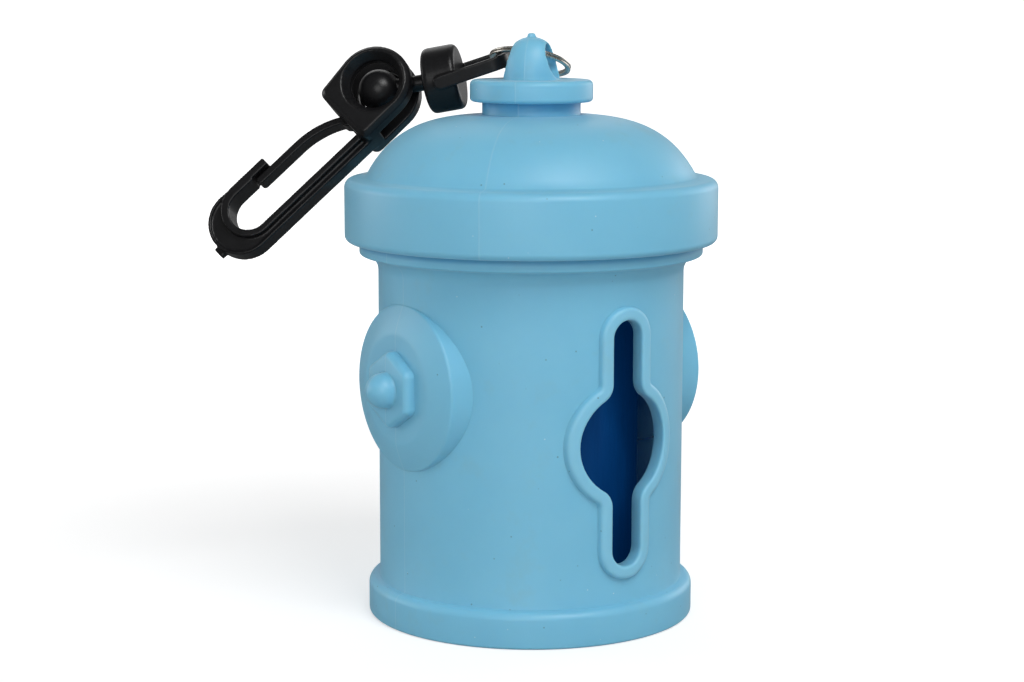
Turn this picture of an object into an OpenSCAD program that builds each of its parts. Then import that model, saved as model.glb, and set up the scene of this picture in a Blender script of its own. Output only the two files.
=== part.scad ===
// Hydrant-shaped dispenser for rolled bags, with a lid and a swivel snap hook.
// The barrel stands on z = 0 with its axis on Z. The dispensing slot faces -Y.

/* [Barrel] */
// Outer diameter of the barrel
barrel_d = 45; // [41:0.5:54]
// Wall of the barrel, the lid and the collar
wall = 2; // [1.6:0.1:2.6]
// Thickness of the floor
floor_t = 2.2; // [1.5:0.1:3.5]
// Height of the barrel up to its collar
collar_z = 53.5; // [46:0.5:70]
// How far the collar stands out past the barrel
collar_out = 2.75; // [2.2:0.05:3.4]
// Height of the collar, most of it inside the lid
collar_h = 9.3; // [6:0.1:14]
// Radius of the hollow under the collar
collar_fillet = 1.5; // [0.5:0.1:2]

/* [Foot] */
// How far the foot stands out past the barrel
foot_out = 1.65; // [1:0.05:4]
// Height of the foot
foot_h = 5.3; // [3:0.1:8]
// Rounding of the foot's upper edge
foot_round = 1.2; // [0.4:0.1:2]
// Rounding of the foot's lower edge
foot_edge = 0.45; // [0.2:0.05:1]

/* [Dispensing slot] */
// Height of the middle of the slot
slot_z = 28.5; // [25:0.5:36]
// Overall length of the slot
slot_len = 35; // [26:0.5:40]
// Width of the slot's straight arms
slot_w = 4.6; // [3:0.1:6]
// Diameter of the round opening in the middle
eye_d = 14.2; // [11:0.1:17]
// Fillet where the arms run into the round opening
slot_fillet = 2.9; // [2.6:0.1:4]
// Width of the raised rim around the slot
rim_w = 2.5; // [1.2:0.1:2.5]
// How far the rim stands out of the barrel
rim_h = 0.9; // [0.4:0.1:1.5]
// Thickness of the edge of the slot, from the rim's face inwards
slot_edge = 1.7; // [1.4:0.1:2.5]
// Width of the step behind that edge
slot_step = 1.2; // [0.6:0.1:1.6]

/* [Nozzle caps] */
// Height of the two nozzle caps
cap_z = 35.5; // [24:0.5:38]
// Diameter of a nozzle cap
cap_d = 24.9; // [18:0.1:27]
// How far the cap's face stands out past the barrel
cap_out = 1.4; // [0.8:0.1:3]
// Width of the border that slopes back round the cap's face
cap_border = 4.4; // [2:0.1:5]
// How far that border slopes back
cap_slope = 1.6; // [0.8:0.1:2]
// Size of the hexagon nut across its corners
nut_d = 11.4; // [8:0.1:14]
// Height of the nut on the cap
nut_h = 1.3; // [0.8:0.1:2.5]
// Diameter of the round stud on the nut
stud_d = 5.3; // [3:0.1:6.5]

/* [Lid] */
// Fit of the lid's skirt around the collar, in radius
lid_fit = 0.15; // [0.1:0.05:0.3]
// Gap between the collar's top and the lid's seat
seat_gap = 0.1; // [0.05:0.05:0.3]
// How far the collar shows below the skirt
collar_show = 1.85; // [1:0.05:3]
// Rounding of the skirt's lower edge
skirt_edge = 1; // [0.4:0.1:1.5]
// Rounding of the skirt's upper edge
skirt_round = 1.3; // [0.6:0.1:1.8]
// How far the dome's foot is set in from the skirt's side
dome_inset = 3.15; // [2.4:0.05:4]
// Height of the dome above the skirt's shoulder
dome_h = 9; // [6:0.1:14]
// Diameter of the neck on top of the dome
neck_d = 14.4; // [12:0.1:17]
// Height of the neck
neck_h = 2; // [1:0.1:5]
// How far the top plate stands out past the neck
plate_out = 1.8; // [0.6:0.1:3]
// Thickness of the top plate
plate_t = 3; // [2.4:0.05:5]
// Rounding of the top plate's edges
plate_round = 0.7; // [0.3:0.1:1.1]

/* [Bonnet bell] */
// Diameter of the bell on the top plate
bell_d = 8.2; // [7.8:0.1:8.8]
// Height of the bell
bell_h = 6.5; // [6.2:0.05:8]
// Width of the tunnel through the bell
tunnel_w = 4.6; // [4.4:0.1:4.8]
// Height of the tunnel through the bell
tunnel_h = 5.1; // [5:0.1:5.2]
// Angle of the tunnel from the slot, about the barrel's axis
tunnel_turn = 38.6; // [0:0.1:80]

/* [Bag roll] */
// Diameter of a full roll
roll_d = 32; // [20:0.5:34]
// Width of the film, which is the height of the roll
roll_h = 60.5; // [40:0.5:61]
// Outer diameter of the cardboard core
core_d = 13; // [9:0.5:16]
// Wall of the cardboard core
core_wall = 1; // [0.6:0.1:2]
// Step where the last bag ends on the roll
film_step = 0.3; // [0.1:0.05:0.6]

/* [Split ring] */
// Outer diameter of the ring
ring_d = 12.2; // [12:0.1:13]
// Width of the wire, along the radius
wire_w = 0.75; // [0.6:0.05:0.8]
// Thickness of one turn of the wire
wire_t = 0.38; // [0.32:0.02:0.4]
// Gap between the two turns
turn_gap = 0.04; // [0.02:0.01:0.1]
// How far the ring's plane drops behind the bell, in degrees
ring_tilt = 21; // [20:0.5:22]
// How far the ring's plane drops away from the hook, in degrees
ring_roll = 5; // [3:0.5:6]
// How far the ring hangs off the tunnel's middle, towards the hook
ring_shift = 1.3; // [1:0.1:1.5]

/* [Swivel eye] */
// Diameter of the barrel of the eye
eye_barrel_d = 9.8; // [9:0.1:10]
// Length of the barrel of the eye
eye_barrel_l = 5.2; // [4:0.1:5.4]
// Diameter of the stem
stem_d = 2.5; // [2:0.1:2.8]
// Diameter of the ball at the end of the stem
ball_d = 5.5; // [4.6:0.1:5.8]
// Distance from the ball's middle to the barrel of the eye
stem_l = 7.4; // [7.2:0.1:8.4]
// Length of the loop past the barrel of the eye
loop_l = 8.1; // [7.8:0.1:8.6]
// Outer width of the loop
loop_w = 10.8; // [10.4:0.1:11]
// Thickness of the loop's strap
strap_t = 1; // [0.9:0.05:1.1]
// Height of the loop's strap
strap_h = 2; // [1.8:0.1:2.2]
// How far the loop is bent up from the stem's line, in degrees
loop_bend = 8; // [0:0.5:9]
// How steeply the stem rises towards the ring, in degrees
stem_rise = 10.5; // [9:0.5:13]
// How far the stem points behind the tunnel's line, in degrees
stem_turn = 7; // [5:0.5:9]

/* [Snap hook] */
// Outer radius of the cage around the ball
cage_r = 5.7; // [5.5:0.1:6.4]
// Thickness of the cage
cage_t = 8.6; // [8:0.1:9.5]
// Radius of the hole through the cage
cage_hole_r = 3.7; // [3.4:0.05:4]
// Height of the slot that lets the stem swing
stem_slot = 3.1; // [2.9:0.1:3.4]
// Distance from the ball's middle to the bend's middle
hook_l = 26.4; // [24:0.1:30]
// Inner width of the hook
throat_w = 6.3; // [5.6:0.1:6.8]
// Width of the rib that runs round the throat
rib_w = 1.1; // [0.9:0.1:1.3]
// Thickness of the rib
rib_t = 4.2; // [3.4:0.1:4.8]
// Width of the spine, from the throat to its outer edge
spine_w = 2.3; // [2.1:0.1:2.9]
// Thickness of the web between the rib and the outer rim
web_t = 2.5; // [1.8:0.1:3]
// Thickness of the outer rim
edge_t = 3.2; // [2.6:0.1:3.8]
// Width of the outer rim
edge_w = 0.45; // [0.3:0.05:0.7]
// How far the outer rim stands past the rib at the end of the bend
bend_out = 4.1; // [3.6:0.1:5]
// Width of the hook's nose
nose_w = 1.5; // [1.3:0.1:2]
// Thickness of the lip that the gate closes under
lip_w = 1.25; // [0.9:0.05:1.4]
// Angle between the stem's axis and the hook's length, in degrees
hook_bend = 36; // [33:0.5:39]
// How far the hook is turned about the stem, in degrees
hook_lean = 23; // [20:1:26]
// Length of the sprung gate from its root
gate_l = 16.2; // [15:0.1:17]
// Thickness of the gate
gate_t = 1.1; // [0.9:0.05:1.3]
// Width of the gate across the hook
gate_w = 2.8; // [2:0.1:3.4]
// Radius of the gate's curve
gate_curve = 14; // [12:0.5:18]
// How far the closed gate overlaps the nose
gate_lap = 3; // [2:0.1:4]

/* [Hidden] */

hydrant_blue = "#7fbcd8";
film_blue = "#2f6f9f";
board_tan = "#b79a6e";
nickel = "#8d8f91";
plastic_black = "#1b1b1d";

// Small overlap that makes joined shapes one solid
bond = 0.2;
// Gap of a free fit, and of a running fit in radius
clear = 0.3;
running = 0.08;

barrel_r = barrel_d / 2;
bore_r = barrel_r - wall;
foot_r = barrel_r + foot_out;
collar_r = barrel_r + collar_out;
collar_top = collar_z + collar_h;

skirt_in = collar_r + lid_fit;
skirt_r = skirt_in + wall;
skirt_z = collar_z + collar_show;
seat_z = collar_top + seat_gap;
shoulder_z = seat_z + wall;
dome_r = skirt_r - dome_inset;
neck_r = neck_d / 2;
plate_r = neck_r + plate_out;
dome_top = shoulder_z + dome_h;
plate_z = dome_top + neck_h;
plate_top = plate_z + plate_t;
// The dome's side bulges: its outline is a curve of the fourth power in radius
dome_a = dome_r * 1.13;
dome_b = dome_h / (1 - dome_rise(dome_r / dome_a));

tunnel_r = tunnel_w / 2;
tunnel_z = plate_top + 0.15 + tunnel_h / 2;

roll_r = roll_d / 2;
core_r = core_d / 2;
roll_z = floor_t + clear;

wire_stack = 2 * wire_t + turn_gap;
ring_mid = (ring_d - wire_w) / 2;
ring_z = tunnel_z + tunnel_h / 2 - wire_stack;
ring_slack = 0.7;

// Where the wire crosses the loop, from the middle of the eye's barrel
loop_corner = 2.6;
strap_start = -0.8;
loop_reach = eye_barrel_l / 2 + loop_l - 2.5;
// How far the loop sits in front of the wire's crossing
loop_side = 0.6;
loop_roll = 5;
// How far round the ring from its nearest point the loop has slid, in degrees
loop_slide = 14;

lid_azimuth = tunnel_turn - 90;

cage_end = 7;
hook_side = throat_w / 2;
// The throat's middle sits a little towards the spine
throat_y = 0.35;
spine_in = throat_y + hook_side;
spine_out = spine_in + spine_w;
nose_in = throat_y - hook_side;
nose_out = nose_in - nose_w;
gate_root = [cage_end - 0.5, throat_y];
gate_root_r = 1.1;
gate_face = nose_out + lip_w + clear;
gate_end = gate_root[0] + gate_l;
spine_start = cage_end - 1.2;
bend_end = hook_l + hook_side + bend_out;

// Share of the dome's height left at a given share of its radius
function dome_rise(s) = sqrt(1 - pow(s, 4));

// Points of an arc about c from angle a0 to a1
function arc(c, r, a0, a1, n = 8) =
    [for (i = [0:n]) c + r * [cos(a0 + (a1 - a0) * i / n), sin(a0 + (a1 - a0) * i / n)]];

// Outline of the dome from its foot up to radius r_top, as [radius, height]
function dome_curve(inset, r_top, n = 20) =
    [for (i = [0:n])
        let (r = (dome_r - inset) + (r_top - dome_r + inset) * i / n,
             base = shoulder_z - dome_b * dome_rise(dome_r / dome_a))
        [r, base + (dome_b - inset) * dome_rise(r / (dome_a - inset))]];

// ---- barrel ----

module barrel_outline() {
    polygon(concat(
        [[0, 0]],
        arc([foot_r - foot_edge, foot_edge], foot_edge, -90, 0, 4),
        arc([foot_r - foot_round, foot_h - foot_round], foot_round, 0, 90),
        [[barrel_r, foot_h]],
        arc([barrel_r + collar_fillet, collar_z - collar_fillet], collar_fillet, 180, 90),
        arc([collar_r - 0.5, collar_z + 0.5], 0.5, -90, 0, 4),
        arc([collar_r - 0.5, collar_top - 0.5], 0.5, 0, 90, 4),
        [[0, collar_top]]));
}

module barrel_bore() {
    collar_bore = collar_r - wall;
    polygon(concat(
        [[0, floor_t]],
        arc([bore_r - 1.5, floor_t + 1.5], 1.5, -90, 0, 4),
        [[bore_r, collar_z - collar_fillet],
         [collar_bore, collar_z + wall],
         [collar_bore, collar_top + 1],
         [0, collar_top + 1]]));
}

// A slot with a round opening in its middle, grown by g on every side
module slot_outline(g) {
    r = eye_d / 2 + g;
    w = slot_w / 2 + g;
    f = slot_fillet - g;
    y = sqrt(pow(r + f, 2) - pow(w + f, 2));
    arm = slot_len / 2 + g - w;
    circle(r);
    for (s = [-1, 1])
        translate([0, s * arm]) circle(w);
    square([2 * w, 2 * arm], center = true);
    for (sx = [-1, 1], sy = [-1, 1])
        difference() {
            polygon([[0, 0], [sx * (w + f), sy * y], [sx * w, sy * y]]);
            translate([sx * (w + f), sy * y]) circle(f);
        }
}

// Runs a flat outline out through the front wall of the barrel
module through_front(r_in, r_out) {
    intersection() {
        translate([0, 0, slot_z]) rotate([90, 0, 0]) linear_extrude(r_out + 1) children();
        difference() {
            cylinder(h = collar_z, r = r_out, $fn = 120);
            translate([0, 0, -1]) cylinder(h = collar_z + 2, r = r_in, $fn = 120);
        }
    }
}

module nozzle_cap() {
    face = barrel_r + cap_out;
    cap_r = cap_d / 2;
    rotate([0, 90, 0]) {
        rotate_extrude($fn = 96)
            polygon(concat(
                [[0, bore_r + 0.5]],
                [[cap_r, bore_r - wall * 2], [cap_r, face - cap_slope - 2]],
                arc([cap_r - 1.1, face - cap_slope - 0.55], 0.6, 10, 60, 3),
                [for (i = [0:6])
                    [cap_r - 1 - (cap_border - 1) * i / 6, face - cap_slope * pow(1 - i / 6, 1.6)]],
                [[0, face]]));
        // The nut stands with a corner up and has its corners turned off
        intersection() {
            translate([0, 0, face - bond]) cylinder(h = nut_h + bond, d = nut_d, $fn = 6);
            translate([0, 0, face - bond])
                cylinder(h = nut_h + bond, r1 = nut_d / 2 + 0.9, r2 = nut_d / 2 - 0.35, $fn = 64);
        }
        translate([0, 0, face + nut_h]) sphere(d = stud_d, $fn = 64);
    }
}

module barrel_shell() {
    color(hydrant_blue)
    difference() {
        union() {
            rotate_extrude($fn = 120) barrel_outline();
            through_front(barrel_r - bond, barrel_r + rim_h) slot_outline(rim_w);
            for (side = [0, 180])
                rotate([0, 0, side]) translate([0, 0, cap_z]) nozzle_cap();
        }
        rotate_extrude($fn = 120) barrel_bore();
        through_front(bore_r - 3, barrel_r + rim_h + 1) slot_outline(0);
        // The wall is thinner round the slot, so the film meets a narrow edge
        through_front(bore_r - 3, barrel_r + rim_h - slot_edge) slot_outline(slot_step);
    }
}

// ---- lid ----

module lid_outline() {
    polygon(concat(
        [[0, skirt_z]],
        arc([skirt_r - skirt_edge, skirt_z + skirt_edge], skirt_edge, -90, 0, 6),
        arc([skirt_r - skirt_round, shoulder_z - 0.25 - skirt_round], skirt_round, 0, 80, 6),
        dome_curve(0, neck_r),
        [[neck_r, plate_z]],
        arc([plate_r - plate_round, plate_z + plate_round], plate_round, -90, 0, 5),
        arc([plate_r - plate_round, plate_top - plate_round], plate_round, 0, 90, 5),
        [[0, plate_top]]));
}

module lid_hollow() {
    core = neck_r - wall;
    inner = dome_curve(wall, core);
    polygon(concat(
        [[0, skirt_z - 1], [skirt_in + 0.4, skirt_z - 1], [skirt_in + 0.4, skirt_z],
         [skirt_in, skirt_z + 0.4], [skirt_in, seat_z], [inner[0][0], seat_z]],
        [for (p = inner) if (p[1] > seat_z) p],
        [[core, plate_top - wall], [0, plate_top - wall]]));
}

// The bell's side stands almost upright and turns in quickly near its crown
module bell() {
    steps = 18;
    rotate_extrude($fn = 72)
        polygon(concat(
            [[0, plate_top - bond], [bell_d / 2, plate_top - bond]],
            [for (i = [0:steps])
                let (s = sin(90 * i / steps))
                [bell_d / 2 * (1 - pow(s, 3.6)), plate_top + bell_h * s]]));
}

module tunnel_outline() {
    rise = tunnel_h / 2 - tunnel_r;
    for (s = [-1, 1])
        translate([0, s * rise]) circle(tunnel_r, $fn = 48);
    square([tunnel_w, 2 * rise], center = true);
}

module bonnet_lid() {
    color(hydrant_blue)
    rotate([0, 0, lid_azimuth])
    difference() {
        union() {
            difference() {
                rotate_extrude($fn = 120) lid_outline();
                rotate_extrude($fn = 120) lid_hollow();
            }
            bell();
            // Moulding nub on the crown of the bell
            translate([0, 0, plate_top + bell_h - 2 * bond]) cylinder(h = 0.65, d = 1.2, $fn = 24);
        }
        translate([0, 0, tunnel_z]) rotate([90, 0, 90])
            linear_extrude(bell_d + 2, center = true) tunnel_outline();
    }
}

// ---- bags ----

module bag_roll() {
    steps = 72;
    color(film_blue)
    translate([0, 0, roll_z])
    difference() {
        linear_extrude(roll_h)
            polygon([for (i = [0:steps])
                let (a = 360 * i / steps)
                (roll_r - film_step * i / steps) * [cos(a), sin(a)]]);
        translate([0, 0, -1]) cylinder(h = roll_h + 2, r = core_r + 0.05, $fn = 64);
    }
}

module roll_core() {
    color(board_tan)
    translate([0, 0, roll_z])
    difference() {
        cylinder(h = roll_h, r = core_r, $fn = 64);
        translate([0, 0, -1]) cylinder(h = roll_h + 2, r = core_r - core_wall, $fn = 64);
    }
}

// ---- split ring ----

// Frame of the ring: its middle at the origin and its plane flat, the hook to the left
module at_ring() {
    rotate([0, 0, lid_azimuth])
    translate([-ring_shift, -ring_slack, ring_z])
    rotate([0, ring_roll, 0]) rotate([-ring_tilt, 0, 0])
    translate([0, ring_mid, 0])
        children();
}

module split_ring() {
    turns = 1.96;
    per_turn = 44;
    rings = round(turns * per_turn);
    pitch = wire_t + turn_gap;
    // Rounded section of the flattened wire, as [along the radius, along the axis]
    section = [for (i = [0:9])
        let (a = 36 * i)
        [wire_w / 2 * sign(cos(a)) * pow(abs(cos(a)), 0.6),
         wire_t / 2 * sign(sin(a)) * pow(abs(sin(a)), 0.6)]];
    m = len(section);
    points = [for (i = [0:rings], s = section)
        let (a = 200 + 360 * i / per_turn,
             r = ring_mid + s[0],
             z = pitch * (i / per_turn - turns / 2) + s[1])
        [r * cos(a), r * sin(a), z]];
    sides = [for (i = [0:rings - 1], j = [0:m - 1])
        [i * m + j, i * m + (j + 1) % m, (i + 1) * m + (j + 1) % m, (i + 1) * m + j]];
    color(nickel)
    at_ring()
        polyhedron(points, concat(
            sides,
            [[for (j = [m - 1:-1:0]) j]],
            [[for (j = [0:m - 1]) rings * m + j]]), convexity = 6);
}

// ---- swivel eye ----

// Frame of the loop: the wire crosses its origin, and it points along X over the ring
module at_loop() {
    at_ring()
    translate(ring_mid * [-cos(loop_slide), sin(loop_slide), 0])
    rotate([ring_tilt, 0, 0]) rotate([0, -ring_roll, 0])
    rotate([0, 0, stem_turn]) rotate([0, -stem_rise - loop_bend, 0]) rotate([loop_roll, 0, 0])
    translate([0, -loop_side, 0])
        children();
}

// Frame of the eye: its ball at the origin and its stem along X, towards the ring
module at_eye() {
    at_loop()
    translate([-loop_reach, 0, 0])
    rotate([-loop_roll, 0, 0]) rotate([0, loop_bend, 0])
    translate([-stem_l - eye_barrel_l / 2, 0, 0])
        children();
}

// The bent strap: two legs on the barrel's sides, joined across the end
module eye_loop() {
    bar = loop_w / 2;
    end = eye_barrel_l / 2 + loop_l;
    intersection() {
        linear_extrude(strap_h, center = true)
            difference() {
                loop_plan(strap_start, end, bar, loop_corner);
                loop_plan(strap_start - 1, end - strap_t, bar - strap_t, loop_corner - strap_t);
            }
        // The legs start round where they leave the barrel's sides
        rotate([90, 0, 0]) linear_extrude(loop_w + 1, center = true) {
            translate([strap_start + strap_h / 2, 0]) circle(d = strap_h, $fn = 48);
            translate([strap_start + strap_h / 2, -strap_h / 2 - 1])
                square([end - strap_start, strap_h + 2]);
        }
    }
}

module loop_plan(start, end, bar, corner) {
    translate([start, -bar]) square([end - start - corner, 2 * bar]);
    translate([start, corner - bar]) square([end - start, 2 * (bar - corner)]);
    for (s = [-1, 1])
        translate([end - corner, s * (bar - corner)]) circle(corner, $fn = 48);
}

module swivel_eye() {
    r = eye_barrel_d / 2;
    edge = 0.8;
    far = stem_l + eye_barrel_l;
    color(plastic_black) {
        at_eye()
            rotate([0, 90, 0])
            rotate_extrude($fn = 72)
                polygon(concat(
                    arc([0, 0], ball_d / 2, -90, acos(stem_d / ball_d), 16),
                    [[stem_d / 2, stem_l]],
                    arc([r - edge, stem_l + edge], edge, -90, 0, 4),
                    arc([r - edge, far - edge], edge, 0, 90, 4),
                    [[0, far]]));
        at_loop()
            translate([-loop_reach, 0, 0])
            eye_loop();
    }
}

// ---- snap hook ----

// Frame of the hook: the ball at the origin, X along the hook, Z out of its front face
module at_hook() {
    at_eye()
    rotate([90 - hook_lean, 0, 0]) rotate([0, 0, 180 + hook_bend])
        children();
}

module cage_outline(inset) {
    corner = 1.2;
    hull() {
        circle(cage_r - inset, $fn = 48);
        for (w = [-4.9, 5.8])
            translate([cage_end - corner, w - sign(w) * corner])
                circle(corner - inset, $fn = 24);
    }
}

module cage() {
    edge = 0.7;
    dish = 1.5;
    difference() {
        hull() {
            linear_extrude(cage_t - 2 * edge, center = true) cage_outline(0);
            linear_extrude(cage_t, center = true) cage_outline(edge);
        }
        cylinder(h = cage_t + 2, r = cage_hole_r, center = true, $fn = 72);
        for (side = [0, 180])
            rotate([side, 0, 0]) translate([0, 0, cage_t / 2 - dish])
                cylinder(h = dish + 0.01, r1 = cage_hole_r, r2 = cage_hole_r + 1.1, $fn = 72);
        // The stem swings in this slot, and the ball is too big to leave by it
        translate([-2 * cage_r, -2 * cage_r, -stem_slot / 2])
            cube([2 * cage_r + 4.4, 4 * cage_r, stem_slot]);
    }
}

// The gap inside the hook in plan
module throat() {
    translate([hook_l, throat_y]) circle(hook_side, $fn = 72);
    translate([cage_end - 2, nose_in]) square([hook_l - cage_end + 2, throat_w]);
}

// The rib of the hook in plan, with the lip cut thin above the gate's end
module rib_outline() {
    tip_x = gate_end - gate_lap;
    difference() {
        union() {
            translate([hook_l, throat_y]) circle(hook_side + rib_w, $fn = 96);
            translate([spine_start, throat_y])
                square([hook_l - spine_start, hook_side + rib_w]);
            translate([tip_x, nose_out])
                square([hook_l - tip_x, throat_y - nose_out]);
        }
        throat();
        translate([tip_x - 1, nose_out + lip_w])
            square([gate_end + clear - tip_x + 1, nose_w]);
    }
}

// Outer outline of the web and its rim, drawn in by inset
module web_outline(inset) {
    r = (spine_out - nose_out + 0.25) / 2;
    translate([bend_end - r, spine_out - r]) circle(r - inset, $fn = 96);
    translate([spine_start, throat_y])
        square([bend_end - r - spine_start, spine_out - inset - throat_y]);
}

module snap_hook() {
    color(plastic_black)
    at_hook()
    difference() {
        union() {
            cage();
            linear_extrude(rib_t, center = true) rib_outline();
            linear_extrude(web_t, center = true)
                difference() {
                    web_outline(0);
                    throat();
                }
            linear_extrude(edge_t, center = true)
                difference() {
                    web_outline(0);
                    web_outline(edge_w);
                    throat();
                }
            // Moulding nub at the end of the bend
            translate([bend_end - bond, throat_y + 0.2, -0.6]) cube([0.9, 1.7, 1.2]);
        }
        // Pocket and mouth for the root of the gate
        translate([gate_root[0], gate_root[1], 0])
            cylinder(h = gate_w + 2 * clear, r = gate_root_r + running, center = true, $fn = 48);
        translate([gate_root[0], gate_root[1] - 2.2, -gate_w / 2 - clear])
            cube([2, 3.8, gate_w + 2 * clear]);
    }
}

// The gate in plan: a round root, a curve down to the throat's side and a straight end
module gate_outline() {
    mid = gate_face + gate_t / 2;
    turn = acos(1 - (gate_root[1] - mid) / gate_curve);
    bend_x = gate_root[0] + gate_curve * sin(turn);
    centre = [bend_x, mid + gate_curve];
    tip = gate_t / 2;
    translate(gate_root) circle(gate_root_r, $fn = 48);
    polygon(concat(
        arc(centre, gate_curve + gate_t / 2, -90 - turn, -90, 18),
        arc(centre, gate_curve - gate_t / 2, -90, -90 - turn, 18)));
    translate([bend_x - 0.01, gate_face]) square([gate_end - tip - bend_x, gate_t]);
    translate([gate_end - tip, mid]) circle(tip, $fn = 32);
}

module hook_gate() {
    color(plastic_black)
    at_hook()
        linear_extrude(gate_w, center = true) gate_outline();
}

barrel_shell();
bonnet_lid();
bag_roll();
roll_core();
split_ring();
swivel_eye();
snap_hook();
hook_gate();
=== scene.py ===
import bpy
import bmesh
from math import acos, cos, pi, radians, sin, sqrt
from mathutils import Matrix, Vector


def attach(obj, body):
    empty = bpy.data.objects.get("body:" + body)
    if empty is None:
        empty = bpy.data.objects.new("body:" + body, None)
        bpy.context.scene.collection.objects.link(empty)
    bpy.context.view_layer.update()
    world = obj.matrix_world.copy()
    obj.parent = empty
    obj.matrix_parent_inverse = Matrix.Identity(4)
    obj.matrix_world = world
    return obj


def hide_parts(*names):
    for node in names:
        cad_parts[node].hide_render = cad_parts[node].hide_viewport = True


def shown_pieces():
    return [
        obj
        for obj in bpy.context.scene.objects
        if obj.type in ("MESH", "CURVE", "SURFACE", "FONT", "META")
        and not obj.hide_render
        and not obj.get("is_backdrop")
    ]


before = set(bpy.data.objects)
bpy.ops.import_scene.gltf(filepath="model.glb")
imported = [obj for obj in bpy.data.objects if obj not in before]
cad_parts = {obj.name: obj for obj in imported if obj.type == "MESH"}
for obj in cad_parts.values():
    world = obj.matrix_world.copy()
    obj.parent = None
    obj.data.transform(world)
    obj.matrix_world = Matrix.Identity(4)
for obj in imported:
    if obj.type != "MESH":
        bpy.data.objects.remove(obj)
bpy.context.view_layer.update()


def mm(*values):
    # sizes are written in millimetres, and Blender works in metres
    if len(values) == 1:
        return values[0] / 1000
    return Vector([value / 1000 for value in values])


camera = {
    "place": (-201.05, -272.69, 92.58),  # mm
    "turn": -35.931,  # degrees about the upright axis
    "down": 8.770,
    "roll": 0.095,
    "lens": 81.27,
    "sensor": 36,
    "nearest": 10,  # mm
}

cameraData = bpy.data.cameras.new("productCamera")
cameraData.lens = camera["lens"]
cameraData.sensor_width = camera["sensor"]
cameraData.clip_start = mm(camera["nearest"])
cameraObject = bpy.data.objects.new("productCamera", cameraData)
bpy.context.scene.collection.objects.link(cameraObject)
cameraObject.matrix_world = (
    Matrix.Translation(mm(*camera["place"]))
    @ Matrix.Rotation(radians(camera["turn"]), 4, "Z")
    @ Matrix.Rotation(radians(90 - camera["down"]), 4, "X")
    @ Matrix.Rotation(radians(camera["roll"]), 4, "Z")
)
bpy.context.scene.camera = cameraObject
bpy.context.scene.view_settings.view_transform = "Standard"


def hexColour(code):
    # sRGB hex to the linear colour that shaders use
    parts = [int(code[i:i + 2], 16) / 255 for i in (1, 3, 5)]
    return [p / 12.92 if p <= 0.04045 else ((p + 0.055) / 1.055) ** 2.4 for p in parts] + [1]


def addNode(tree, kind, inputs=None, **settings):
    made = tree.nodes.new(kind)
    for name, value in settings.items():
        setattr(made, name, value)
    for name, value in (inputs or {}).items():
        if isinstance(value, bpy.types.NodeSocket):
            tree.links.new(value, made.inputs[name])
        else:
            made.inputs[name].default_value = value
    return made


def freshMaterial(name):
    material = bpy.data.materials.new(name)
    material.use_nodes = True
    material.node_tree.nodes.clear()
    return material, material.node_tree


# studio table: white to the camera, and it keeps the soft shadow
studio = {
    "floorSize": 40,  # metres
    "floorBelow": 0.02,  # mm that it lies under the foot
    "floorColour": "#cfcfcf",
    "floorShine": "#686868",  # the same as the glossy surfaces reflect it
    "nearLift": 0.52,  # light added for camera rays beside the object, and 1 further away
    "farLift": 1,
    "nearReach": 90,  # mm
    "farReach": 420,
    "glossShare": 0.05,  # how much of that white the glossy surfaces see
    "roomLight": 0.6,  # from in front
    "backdropLight": 0.76,  # from the lit white backdrop behind the object
    "lightSpread": (-0.2, 0.8),  # cosines of the angle to the backdrop that these two belong to
    "roomShine": 0.14,  # the same two as the glossy surfaces reflect them
    "backdropShine": 0.3,
    "shineSpread": (0, 0.9),
    "overhead": 0.8,  # share by which the room is darker straight above
    "backdrop": (0.59, 0.8, 0.1),  # the way to the backdrop
    "aim": (0, 0, 45),  # mm, where the boxes point
    # large soft boxes: (place in mm, size in mm, watts)
    "boxes": {
        "keyBox": ((-60, -510, 640), 400, 3.25),
        "fillBox": ((-470, -500, 240), 380, 1.1),
        "leftBox": ((-450, 560, 130), 400, 1.15),
        "rightBox": ((600, 60, 110), 380, 0.9),
        "backBox": ((260, 480, 420), 420, 0.45),
    },
}


def seenWhite(tree):
    # 1 for the rays that see the white surroundings, and a share of it for glossy ones
    rays = addNode(tree, "ShaderNodeLightPath")
    share = addNode(tree, "ShaderNodeMath", {0: rays.outputs["Is Glossy Ray"], 1: studio["glossShare"]},
                    operation="MULTIPLY")
    for kind in ("Is Camera Ray", "Is Transmission Ray"):
        share = addNode(tree, "ShaderNodeMath", {0: share.outputs[0], 1: rays.outputs[kind]},
                        operation="MAXIMUM")
    return share.outputs[0]


def tableMaterial():
    # matt white paper that also glows for the camera, most of all away from the object
    material, tree = freshMaterial("whiteTablePaper")
    place = addNode(tree, "ShaderNodeTexCoord").outputs["Object"]
    away = addNode(tree, "ShaderNodeVectorMath", {0: place}, operation="LENGTH")
    lift = addNode(tree, "ShaderNodeMapRange",
                   {0: away.outputs["Value"], 1: mm(studio["nearReach"]), 2: mm(studio["farReach"]),
                    3: studio["nearLift"], 4: studio["farLift"]})
    shown = addNode(tree, "ShaderNodeMath", {0: lift.outputs[0], 1: seenWhite(tree)}, operation="MULTIPLY")
    rays = addNode(tree, "ShaderNodeLightPath")
    tone = addNode(tree, "ShaderNodeMix",
                   {0: rays.outputs["Is Glossy Ray"], 6: hexColour(studio["floorColour"]),
                    7: hexColour(studio["floorShine"])}, data_type="RGBA")
    paper = addNode(tree, "ShaderNodeBsdfDiffuse", {"Color": tone.outputs[2]})
    glow = addNode(tree, "ShaderNodeEmission", {"Strength": shown.outputs[0]})
    both = addNode(tree, "ShaderNodeAddShader", {0: paper.outputs[0], 1: glow.outputs[0]})
    addNode(tree, "ShaderNodeOutputMaterial", {"Surface": both.outputs[0]})
    return material


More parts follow.
